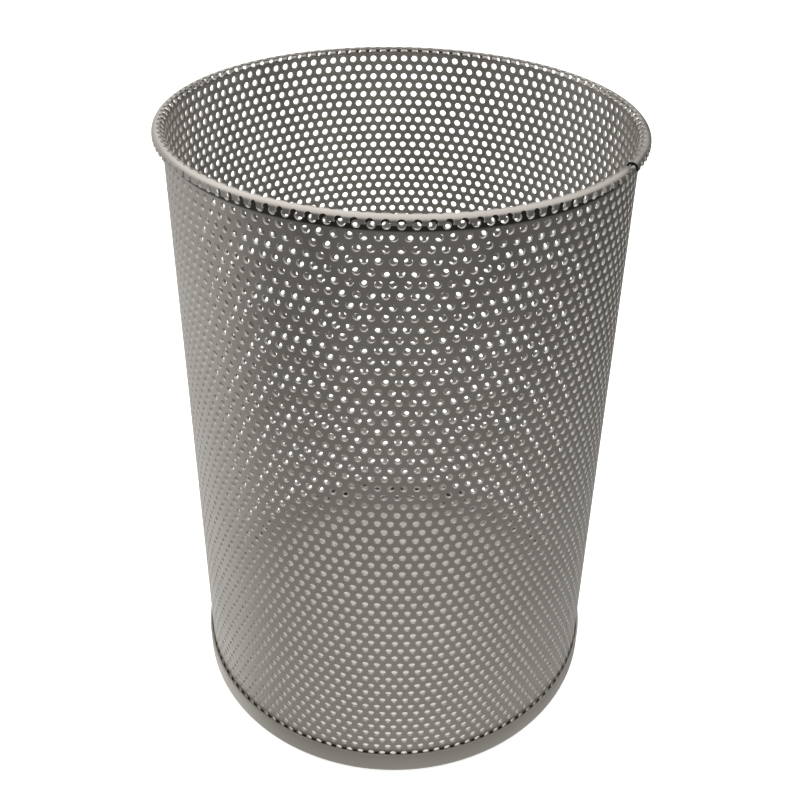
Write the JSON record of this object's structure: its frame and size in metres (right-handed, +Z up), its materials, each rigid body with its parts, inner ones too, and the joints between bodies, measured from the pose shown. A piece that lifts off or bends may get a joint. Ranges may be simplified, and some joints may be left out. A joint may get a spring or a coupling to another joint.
{
  "type": "cheese mold",
  "caption": "Tall perforated cylindrical cheese mould with an outward-curled rim, a welded upright seam and a shallow solid base pan.",
  "frame": {"origin": "on the floor at the middle of the base pan's underside", "axes": "+Z up along the mould's axis, -Y to the front; the upright seam is 60 degrees round from the front towards +X"},
  "size_m": [0.1994, 0.1994, 0.2822],
  "materials": {
    "perforated_sheet": "satin stainless sheet, punched and rolled",
    "base_sheet": "satin stainless sheet, pressed",
    "weld": "dressed stainless weld metal"
  },
  "bodies": {
    "root": {"perforated_wall": "perforated_sheet", "seam_weld": "weld", "base_pan": "base_sheet", "base_spot_welds": "weld"}
  },
  "joints": []
}
